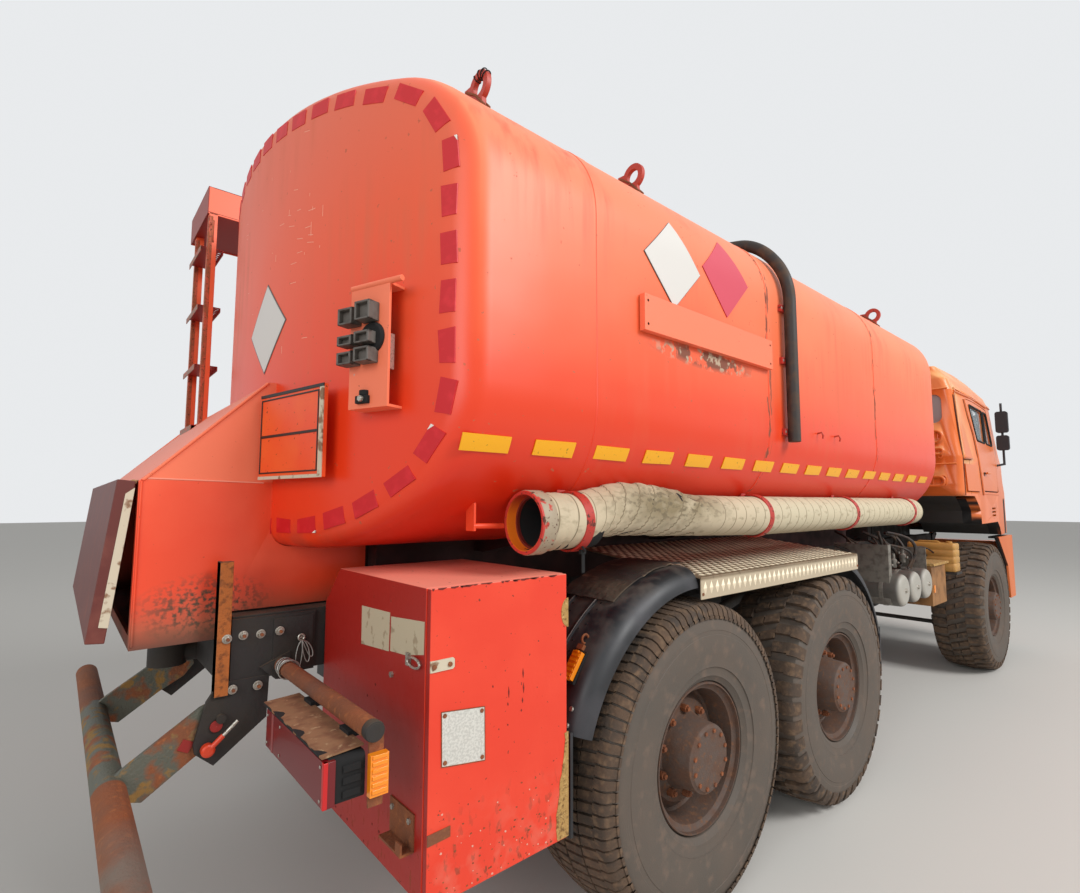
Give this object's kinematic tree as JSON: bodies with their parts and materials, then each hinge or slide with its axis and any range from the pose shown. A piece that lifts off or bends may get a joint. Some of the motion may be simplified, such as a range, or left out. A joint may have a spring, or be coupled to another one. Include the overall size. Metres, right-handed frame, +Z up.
{
  "type": "six-wheel tanker truck",
  "caption": "Off-road fuel tanker truck with a suitcase-section tank, cab that tilts, steered front axle, rear pump compartment, ladder, tool box and folding underrun bar.",
  "frame": {"origin": "on the ground under the middle of the overall length and width", "axes": "+X to the front of the truck, +Y to its left, +Z up"},
  "size_m": [8.224, 2.632, 3.3297],
  "materials": {
    "tank_paint": "sun-faded orange-red enamel",
    "box_paint": "chalky red enamel",
    "cab_paint": "orange enamel",
    "chassis_paint": "dusty black chassis paint",
    "running_gear": "oily dark castings",
    "rusty_steel": "rusted steel",
    "wheel_steel": "dusty brown wheels",
    "tyre_rubber": "worn dusty rubber",
    "deck_aluminium": "checker plate",
    "guard_plastic": "black moulded plastic",
    "hose_rubber": "black rubber",
    "canvas": "coated canvas skin on a rigid tube",
    "glass": "tinted window glass",
    "lamp_red": "red lens",
    "grey_paint": "grey-white paint",
    "tan_plastic": "tan moulded plastic",
    "seat_fabric": "dark seat cloth",
    "dash_plastic": "grained dark plastic"
  },
  "bodies": {
    "chassis": {"air_tanks": "grey_paint", "breather_hose": "hose_rubber", "canister": "tan_plastic", "crossmembers": "chassis_paint", "deck_plates": "deck_aluminium", "frame_rails": "chassis_paint", "front_axle": "running_gear", "front_bumper": "cab_paint", "fuel_tank": "chassis_paint", "ladder": "tank_paint", "manhole_collar": "tank_paint", "mudguards": "guard_plastic", "powertrain": "running_gear", "pump_compartment": "box_paint", "pump_unit": "running_gear", "rear_axles": "running_gear", "rear_brackets": "chassis_paint", "rear_lamps": "lamp_red", "rear_plate": "tank_paint", "side_units": "chassis_paint", "storage_tube": "canvas", "suspension": "running_gear", "tank_fittings": "tank_paint", "tank_saddles": "box_paint", "tank_shell": "tank_paint", "tool_box": "box_paint", "tube_clamps": "box_paint"},
    "cab": {"cab_roof": "cab_paint", "cab_rear_wall": "cab_paint", "cab_front": "cab_paint", "cab_floor": "cab_paint", "cab_sides": "cab_paint", "cab_glass": "glass", "cab_seats": "seat_fabric", "dashboard": "dash_plastic", "mirrors": "dash_plastic"},
    "door_right": {"door_right": "cab_paint", "door_glass_right": "glass"},
    "knuckle_right": {"knuckle_right": "running_gear"},
    "wheel_front_right": {"tyre_front_right": "tyre_rubber", "wheel_front_right": "wheel_steel"},
    "wheel_middle_right": {"tyre_middle_right": "tyre_rubber", "wheel_middle_right": "wheel_steel"},
    "wheel_rear_right": {"tyre_rear_right": "tyre_rubber", "wheel_rear_right": "wheel_steel"},
    "door_left": {"door_left": "cab_paint", "door_glass_left": "glass"},
    "knuckle_left": {"knuckle_left": "running_gear"},
    "wheel_front_left": {"tyre_front_left": "tyre_rubber", "wheel_front_left": "wheel_steel"},
    "wheel_middle_left": {"tyre_middle_left": "tyre_rubber", "wheel_middle_left": "wheel_steel"},
    "wheel_rear_left": {"tyre_rear_left": "tyre_rubber", "wheel_rear_left": "wheel_steel"},
    "tie_rod": {"tie_rod": "running_gear"},
    "manhole_lid": {"manhole_lid": "tank_paint"},
    "compartment_door": {"compartment_door": "box_paint"},
    "tool_box_door": {"tool_box_door": "box_paint"},
    "underrun_bar": {"underrun_bar": "rusty_steel"}
  },
  "joints": [
    {"name": "steer_right", "type": "hinge", "parent": "chassis", "child": "knuckle_right", "pos_m": [2.825, -0.75, 0.62], "axis": [0, 0, 1], "range_deg": [-30, 30]},
    {"name": "steer_left", "type": "hinge", "parent": "chassis", "child": "knuckle_left", "pos_m": [2.825, 0.75, 0.62], "axis": [0, 0, 1], "range_deg": [-30, 30]},
    {"name": "tie_rod_swing", "type": "hinge", "parent": "knuckle_right", "child": "tie_rod", "pos_m": [2.595, -0.76, 0.43], "axis": [0, 0, 1], "range_deg": [-30, 30]},
    {"name": "spin_front_right", "type": "hinge", "parent": "knuckle_right", "child": "wheel_front_right", "pos_m": [2.825, -1.025, 0.62], "axis": [0, 1, 0], "continuous": true},
    {"name": "spin_middle_right", "type": "hinge", "parent": "chassis", "child": "wheel_middle_right", "pos_m": [-0.865, -1.025, 0.62], "axis": [0, 1, 0], "continuous": true},
    {"name": "spin_rear_right", "type": "hinge", "parent": "chassis", "child": "wheel_rear_right", "pos_m": [-2.185, -1.025, 0.62], "axis": [0, 1, 0], "continuous": true},
    {"name": "spin_front_left", "type": "hinge", "parent": "knuckle_left", "child": "wheel_front_left", "pos_m": [2.825, 1.025, 0.62], "axis": [0, 1, 0], "continuous": true},
    {"name": "spin_middle_left", "type": "hinge", "parent": "chassis", "child": "wheel_middle_left", "pos_m": [-0.865, 1.025, 0.62], "axis": [0, 1, 0], "continuous": true},
    {"name": "spin_rear_left", "type": "hinge", "parent": "chassis", "child": "wheel_rear_left", "pos_m": [-2.185, 1.025, 0.62], "axis": [0, 1, 0], "continuous": true},
    {"name": "cab_tilt", "type": "hinge", "parent": "chassis", "child": "cab", "pos_m": [3.975, 0, 1.255], "axis": [0, 1, 0], "range_deg": [0, 50]},
    {"name": "door_swing_right", "type": "hinge", "parent": "cab", "child": "door_right", "pos_m": [3.358, -1.212, 2.1], "axis": [0, 0, 1], "range_deg": [0, 70]},
    {"name": "door_swing_left", "type": "hinge", "parent": "cab", "child": "door_left", "pos_m": [3.358, 1.212, 2.1], "axis": [0, 0, -1], "range_deg": [0, 70]},
    {"name": "lid_hinge", "type": "hinge", "parent": "chassis", "child": "manhole_lid", "pos_m": [-1.442, 0, 3.313], "axis": [0, -1, 0], "range_deg": [0, 110]},
    {"name": "compartment_hinge", "type": "hinge", "parent": "chassis", "child": "compartment_door", "pos_m": [-4.027, 0.42, 1.7], "axis": [0, 1, 0], "range_deg": [-6, 100]},
    {"name": "tool_box_hinge", "type": "hinge", "parent": "chassis", "child": "tool_box_door", "pos_m": [-2.939, -1.223, 1], "axis": [0, 0, 1], "range_deg": [0, 100]},
    {"name": "underrun_fold", "type": "hinge", "parent": "chassis", "child": "underrun_bar", "pos_m": [-3.76, 0, 0.945], "axis": [0, 1, 0], "range_deg": [0, 50]}
  ],
  "couplings": [
    {"joint": "steer_left", "follows": "steer_right", "ratio": 1},
    {"joint": "tie_rod_swing", "follows": "steer_right", "ratio": -1}
  ]
}
